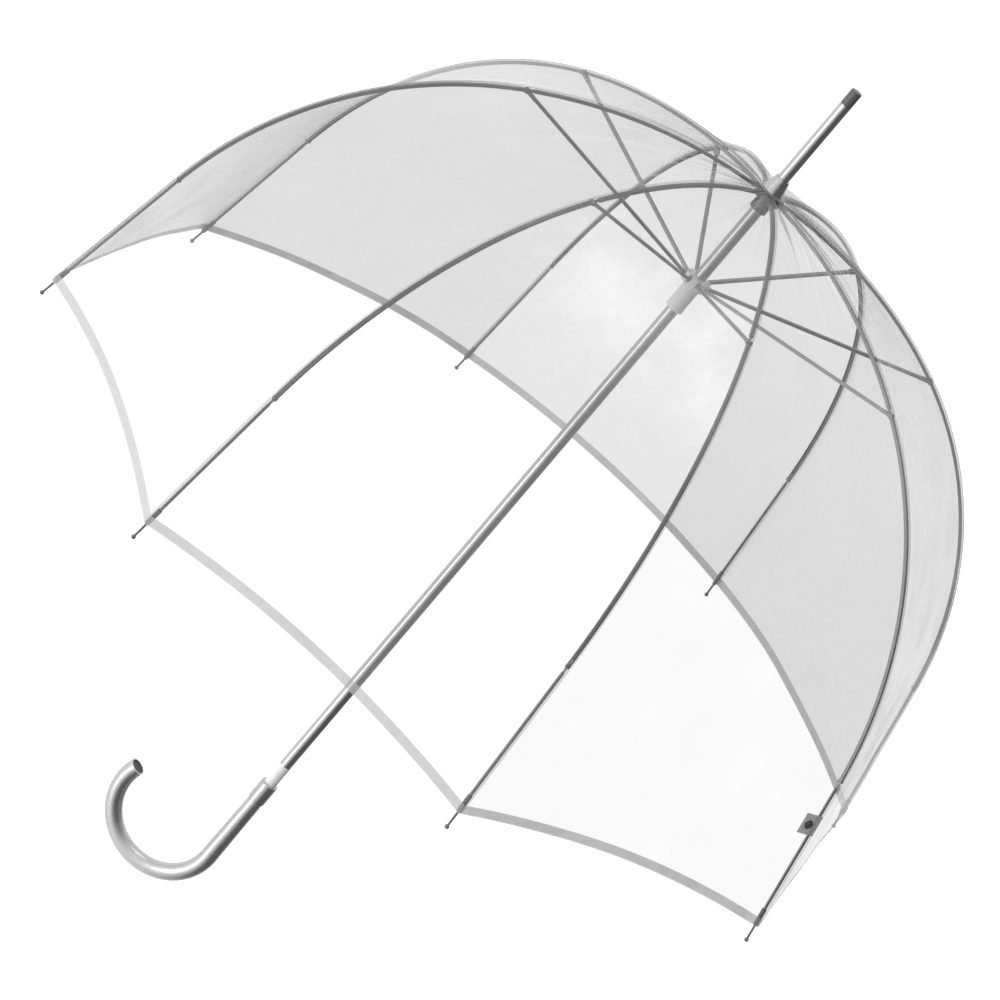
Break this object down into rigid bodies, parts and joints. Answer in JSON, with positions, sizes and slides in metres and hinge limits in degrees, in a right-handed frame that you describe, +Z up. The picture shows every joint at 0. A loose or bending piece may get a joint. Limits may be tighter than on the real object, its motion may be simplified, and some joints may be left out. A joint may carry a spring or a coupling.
{
  "type": "stick umbrella",
  "caption": "Clear dome stick umbrella, open, with hinged steel ribs and stretchers, a sliding runner, spring catches and a hooked metal handle.",
  "frame": {"origin": "middle of the straight hand grip, on the shaft's axis", "axes": "+Z up the shaft towards the ferrule; the handle's hook bends towards -X; the ribs stand at 22.5 degrees from +X and every 45 degrees after that"},
  "size_m": [0.7726, 0.7726, 0.9451],
  "materials": {
    "clear_film": "clear PVC-type film, glossy",
    "clear_washer": "clear moulded washer",
    "collar_metal": "satin anodised",
    "crown_metal": "plated pressing",
    "dark_cap": "dark plated cap",
    "end_plug": "moulded plug",
    "ferrule_steel": "bright plated steel tube",
    "handle_metal": "satin anodised",
    "hem_tape": "folded and welded film, frosted",
    "rib_steel": "zinc plated spring steel",
    "runner_plastic": "moulded white plastic",
    "shaft_steel": "bright plated steel tube",
    "snap_metal": "pressed snap",
    "spring_wire": "drawn spring wire",
    "strap_film": "folded frosted film",
    "tip_plastic": "moulded nylon, satin",
    "white_bush": "moulded white plastic"
  },
  "bodies": {
    "stick": {"shaft_tube": "shaft_steel", "ferrule": "ferrule_steel", "ferrule_cap": "dark_cap", "crown_notch": "crown_metal", "notch_wire": "spring_wire", "crown_washer": "clear_washer", "crown_cap": "crown_metal", "stop_pin": "shaft_steel", "handle_bush": "white_bush", "handle_collar": "collar_metal", "handle": "handle_metal", "handle_end_plug": "end_plug", "canopy_film": "clear_film", "hem_tape": "hem_tape"},
    "runner": {"runner": "runner_plastic", "runner_wire": "spring_wire"},
    "top_catch": {"top_catch": "spring_wire"},
    "bottom_catch": {"bottom_catch": "spring_wire"},
    "tie_strap": {"tie_strap": "strap_film", "strap_snap": "snap_metal"},
    "rib_inner_1": {"rib_inner_1": "rib_steel"},
    "rib_middle_1": {"rib_middle_1": "rib_steel"},
    "rib_outer_1": {"rib_outer_1": "rib_steel", "rib_tip_1": "tip_plastic"},
    "stretcher_1": {"stretcher_1": "rib_steel"},
    "rib_inner_2": {"rib_inner_2": "rib_steel"},
    "rib_middle_2": {"rib_middle_2": "rib_steel"},
    "rib_outer_2": {"rib_outer_2": "rib_steel", "rib_tip_2": "tip_plastic"},
    "stretcher_2": {"stretcher_2": "rib_steel"},
    "rib_inner_3": {"rib_inner_3": "rib_steel"},
    "rib_middle_3": {"rib_middle_3": "rib_steel"},
    "rib_outer_3": {"rib_outer_3": "rib_steel", "rib_tip_3": "tip_plastic"},
    "stretcher_3": {"stretcher_3": "rib_steel"},
    "rib_inner_4": {"rib_inner_4": "rib_steel"},
    "rib_middle_4": {"rib_middle_4": "rib_steel"},
    "rib_outer_4": {"rib_outer_4": "rib_steel", "rib_tip_4": "tip_plastic"},
    "stretcher_4": {"stretcher_4": "rib_steel"},
    "rib_inner_5": {"rib_inner_5": "rib_steel"},
    "rib_middle_5": {"rib_middle_5": "rib_steel"},
    "rib_outer_5": {"rib_outer_5": "rib_steel", "rib_tip_5": "tip_plastic"},
    "stretcher_5": {"stretcher_5": "rib_steel"},
    "rib_inner_6": {"rib_inner_6": "rib_steel"},
    "rib_middle_6": {"rib_middle_6": "rib_steel"},
    "rib_outer_6": {"rib_outer_6": "rib_steel", "rib_tip_6": "tip_plastic"},
    "stretcher_6": {"stretcher_6": "rib_steel"},
    "rib_inner_7": {"rib_inner_7": "rib_steel"},
    "rib_middle_7": {"rib_middle_7": "rib_steel"},
    "rib_outer_7": {"rib_outer_7": "rib_steel", "rib_tip_7": "tip_plastic"},
    "stretcher_7": {"stretcher_7": "rib_steel"},
    "rib_inner_8": {"rib_inner_8": "rib_steel"},
    "rib_middle_8": {"rib_middle_8": "rib_steel"},
    "rib_outer_8": {"rib_outer_8": "rib_steel", "rib_tip_8": "tip_plastic"},
    "stretcher_8": {"stretcher_8": "rib_steel"}
  },
  "joints": [
    {"name": "runner_slide", "type": "slide", "parent": "stick", "child": "runner", "axis": [0, 0, -1], "range_m": [0, 0.313], "deforming": ["canopy_film", "hem_tape"]},
    {"name": "rib_hinge_1", "type": "hinge", "parent": "stick", "child": "rib_inner_1", "pos_m": [0.00924, 0.00383, 0.731], "axis": [-0.3827, 0.9239, 0], "range_deg": [-0.2, 73.1]},
    {"name": "rib_bend_1", "type": "hinge", "parent": "rib_inner_1", "child": "rib_middle_1", "pos_m": [0.19259, 0.07977, 0.68427], "axis": [-0.3827, 0.9239, 0], "range_deg": [-34.6, 0.2]},
    {"name": "splice_bend_1", "type": "hinge", "parent": "rib_middle_1", "child": "rib_outer_1", "pos_m": [0.35438, 0.14679, 0.45605], "axis": [-0.3827, 0.9239, 0], "range_deg": [-29.2, 0.2]},
    {"name": "stretcher_hinge_1", "type": "hinge", "parent": "rib_inner_1", "child": "stretcher_1", "pos_m": [0.19259, 0.07977, 0.68427], "axis": [-0.3827, 0.9239, 0], "range_deg": [-146, 0.2]},
    {"name": "rib_hinge_2", "type": "hinge", "parent": "stick", "child": "rib_inner_2", "pos_m": [0.00383, 0.00924, 0.731], "axis": [-0.9239, 0.3827, 0], "range_deg": [-0.2, 73.1]},
    {"name": "rib_bend_2", "type": "hinge", "parent": "rib_inner_2", "child": "rib_middle_2", "pos_m": [0.07977, 0.19259, 0.68427], "axis": [-0.9239, 0.3827, 0], "range_deg": [-34.6, 0.2]},
    {"name": "splice_bend_2", "type": "hinge", "parent": "rib_middle_2", "child": "rib_outer_2", "pos_m": [0.14679, 0.35438, 0.45605], "axis": [-0.9239, 0.3827, 0], "range_deg": [-29.2, 0.2]},
    {"name": "stretcher_hinge_2", "type": "hinge", "parent": "rib_inner_2", "child": "stretcher_2", "pos_m": [0.07977, 0.19259, 0.68427], "axis": [-0.9239, 0.3827, 0], "range_deg": [-146, 0.2]},
    {"name": "rib_hinge_3", "type": "hinge", "parent": "stick", "child": "rib_inner_3", "pos_m": [-0.00383, 0.00924, 0.731], "axis": [-0.9239, -0.3827, 0], "range_deg": [-0.2, 73.1]},
    {"name": "rib_bend_3", "type": "hinge", "parent": "rib_inner_3", "child": "rib_middle_3", "pos_m": [-0.07977, 0.19259, 0.68427], "axis": [-0.9239, -0.3827, 0], "range_deg": [-34.6, 0.2]},
    {"name": "splice_bend_3", "type": "hinge", "parent": "rib_middle_3", "child": "rib_outer_3", "pos_m": [-0.14679, 0.35438, 0.45605], "axis": [-0.9239, -0.3827, 0], "range_deg": [-29.2, 0.2]},
    {"name": "stretcher_hinge_3", "type": "hinge", "parent": "rib_inner_3", "child": "stretcher_3", "pos_m": [-0.07977, 0.19259, 0.68427], "axis": [-0.9239, -0.3827, 0], "range_deg": [-146, 0.2]},
    {"name": "rib_hinge_4", "type": "hinge", "parent": "stick", "child": "rib_inner_4", "pos_m": [-0.00924, 0.00383, 0.731], "axis": [-0.3827, -0.9239, 0], "range_deg": [-0.2, 73.1]},
    {"name": "rib_bend_4", "type": "hinge", "parent": "rib_inner_4", "child": "rib_middle_4", "pos_m": [-0.19259, 0.07977, 0.68427], "axis": [-0.3827, -0.9239, 0], "range_deg": [-34.6, 0.2]},
    {"name": "splice_bend_4", "type": "hinge", "parent": "rib_middle_4", "child": "rib_outer_4", "pos_m": [-0.35438, 0.14679, 0.45605], "axis": [-0.3827, -0.9239, 0], "range_deg": [-29.2, 0.2]},
    {"name": "stretcher_hinge_4", "type": "hinge", "parent": "rib_inner_4", "child": "stretcher_4", "pos_m": [-0.19259, 0.07977, 0.68427], "axis": [-0.3827, -0.9239, 0], "range_deg": [-146, 0.2]},
    {"name": "rib_hinge_5", "type": "hinge", "parent": "stick", "child": "rib_inner_5", "pos_m": [-0.00924, -0.00383, 0.731], "axis": [0.3827, -0.9239, 0], "range_deg": [-0.2, 73.1]},
    {"name": "rib_bend_5", "type": "hinge", "parent": "rib_inner_5", "child": "rib_middle_5", "pos_m": [-0.19259, -0.07977, 0.68427], "axis": [0.3827, -0.9239, 0], "range_deg": [-34.6, 0.2]},
    {"name": "splice_bend_5", "type": "hinge", "parent": "rib_middle_5", "child": "rib_outer_5", "pos_m": [-0.35438, -0.14679, 0.45605], "axis": [0.3827, -0.9239, 0], "range_deg": [-29.2, 0.2]},
    {"name": "stretcher_hinge_5", "type": "hinge", "parent": "rib_inner_5", "child": "stretcher_5", "pos_m": [-0.19259, -0.07977, 0.68427], "axis": [0.3827, -0.9239, 0], "range_deg": [-146, 0.2]},
    {"name": "rib_hinge_6", "type": "hinge", "parent": "stick", "child": "rib_inner_6", "pos_m": [-0.00383, -0.00924, 0.731], "axis": [0.9239, -0.3827, 0], "range_deg": [-0.2, 73.1]},
    {"name": "rib_bend_6", "type": "hinge", "parent": "rib_inner_6", "child": "rib_middle_6", "pos_m": [-0.07977, -0.19259, 0.68427], "axis": [0.9239, -0.3827, 0], "range_deg": [-34.6, 0.2]},
    {"name": "splice_bend_6", "type": "hinge", "parent": "rib_middle_6", "child": "rib_outer_6", "pos_m": [-0.14679, -0.35438, 0.45605], "axis": [0.9239, -0.3827, 0], "range_deg": [-29.2, 0.2]},
    {"name": "stretcher_hinge_6", "type": "hinge", "parent": "rib_inner_6", "child": "stretcher_6", "pos_m": [-0.07977, -0.19259, 0.68427], "axis": [0.9239, -0.3827, 0], "range_deg": [-146, 0.2]},
    {"name": "rib_hinge_7", "type": "hinge", "parent": "stick", "child": "rib_inner_7", "pos_m": [0.00383, -0.00924, 0.731], "axis": [0.9239, 0.3827, 0], "range_deg": [-0.2, 73.1]},
    {"name": "rib_bend_7", "type": "hinge", "parent": "rib_inner_7", "child": "rib_middle_7", "pos_m": [0.07977, -0.19259, 0.68427], "axis": [0.9239, 0.3827, 0], "range_deg": [-34.6, 0.2]},
    {"name": "splice_bend_7", "type": "hinge", "parent": "rib_middle_7", "child": "rib_outer_7", "pos_m": [0.14679, -0.35438, 0.45605], "axis": [0.9239, 0.3827, 0], "range_deg": [-29.2, 0.2]},
    {"name": "stretcher_hinge_7", "type": "hinge", "parent": "rib_inner_7", "child": "stretcher_7", "pos_m": [0.07977, -0.19259, 0.68427], "axis": [0.9239, 0.3827, 0], "range_deg": [-146, 0.2]},
    {"name": "rib_hinge_8", "type": "hinge", "parent": "stick", "child": "rib_inner_8", "pos_m": [0.00924, -0.00383, 0.731], "axis": [0.3827, 0.9239, 0], "range_deg": [-0.2, 73.1]},
    {"name": "rib_bend_8", "type": "hinge", "parent": "rib_inner_8", "child": "rib_middle_8", "pos_m": [0.19259, -0.07977, 0.68427], "axis": [0.3827, 0.9239, 0], "range_deg": [-34.6, 0.2]},
    {"name": "splice_bend_8", "type": "hinge", "parent": "rib_middle_8", "child": "rib_outer_8", "pos_m": [0.35438, -0.14679, 0.45605], "axis": [0.3827, 0.9239, 0], "range_deg": [-29.2, 0.2]},
    {"name": "stretcher_hinge_8", "type": "hinge", "parent": "rib_inner_8", "child": "stretcher_8", "pos_m": [0.19259, -0.07977, 0.68427], "axis": [0.3827, 0.9239, 0], "range_deg": [-146, 0.2]},
    {"name": "top_catch_press", "type": "slide", "parent": "stick", "child": "top_catch", "axis": [0, -1, 0], "range_m": [0, 0.0026], "stiffness_N_per_m": 500, "springref_m": -0.0012},
    {"name": "bottom_catch_press", "type": "slide", "parent": "stick", "child": "bottom_catch", "axis": [0, -1, 0], "range_m": [0, 0.0026], "stiffness_N_per_m": 500, "springref_m": -0.0012},
    {"name": "strap_swing", "type": "hinge", "parent": "rib_outer_8", "child": "tie_strap", "pos_m": [0.36317, -0.15206, 0.42655], "axis": [-0.2, 0.0828, 0.9763], "range_deg": [0, 150]}
  ],
  "couplings": [
    {"joint": "rib_hinge_1", "follows": "runner_slide", "rad_per_m": 4.065},
    {"joint": "rib_bend_1", "follows": "runner_slide", "rad_per_m": -1.9182},
    {"joint": "splice_bend_1", "follows": "runner_slide", "rad_per_m": -1.6171},
    {"joint": "stretcher_hinge_1", "follows": "runner_slide", "rad_per_m": -8.13},
    {"joint": "rib_hinge_2", "follows": "runner_slide", "rad_per_m": 4.065},
    {"joint": "rib_bend_2", "follows": "runner_slide", "rad_per_m": -1.9182},
    {"joint": "splice_bend_2", "follows": "runner_slide", "rad_per_m": -1.6171},
    {"joint": "stretcher_hinge_2", "follows": "runner_slide", "rad_per_m": -8.13},
    {"joint": "rib_hinge_3", "follows": "runner_slide", "rad_per_m": 4.065},
    {"joint": "rib_bend_3", "follows": "runner_slide", "rad_per_m": -1.9182},
    {"joint": "splice_bend_3", "follows": "runner_slide", "rad_per_m": -1.6171},
    {"joint": "stretcher_hinge_3", "follows": "runner_slide", "rad_per_m": -8.13},
    {"joint": "rib_hinge_4", "follows": "runner_slide", "rad_per_m": 4.065},
    {"joint": "rib_bend_4", "follows": "runner_slide", "rad_per_m": -1.9182},
    {"joint": "splice_bend_4", "follows": "runner_slide", "rad_per_m": -1.6171},
    {"joint": "stretcher_hinge_4", "follows": "runner_slide", "rad_per_m": -8.13},
    {"joint": "rib_hinge_5", "follows": "runner_slide", "rad_per_m": 4.065},
    {"joint": "rib_bend_5", "follows": "runner_slide", "rad_per_m": -1.9182},
    {"joint": "splice_bend_5", "follows": "runner_slide", "rad_per_m": -1.6171},
    {"joint": "stretcher_hinge_5", "follows": "runner_slide", "rad_per_m": -8.13},
    {"joint": "rib_hinge_6", "follows": "runner_slide", "rad_per_m": 4.065},
    {"joint": "rib_bend_6", "follows": "runner_slide", "rad_per_m": -1.9182},
    {"joint": "splice_bend_6", "follows": "runner_slide", "rad_per_m": -1.6171},
    {"joint": "stretcher_hinge_6", "follows": "runner_slide", "rad_per_m": -8.13},
    {"joint": "rib_hinge_7", "follows": "runner_slide", "rad_per_m": 4.065},
    {"joint": "rib_bend_7", "follows": "runner_slide", "rad_per_m": -1.9182},
    {"joint": "splice_bend_7", "follows": "runner_slide", "rad_per_m": -1.6171},
    {"joint": "stretcher_hinge_7", "follows": "runner_slide", "rad_per_m": -8.13},
    {"joint": "rib_hinge_8", "follows": "runner_slide", "rad_per_m": 4.065},
    {"joint": "rib_bend_8", "follows": "runner_slide", "rad_per_m": -1.9182},
    {"joint": "splice_bend_8", "follows": "runner_slide", "rad_per_m": -1.6171},
    {"joint": "stretcher_hinge_8", "follows": "runner_slide", "rad_per_m": -8.13}
  ]
}
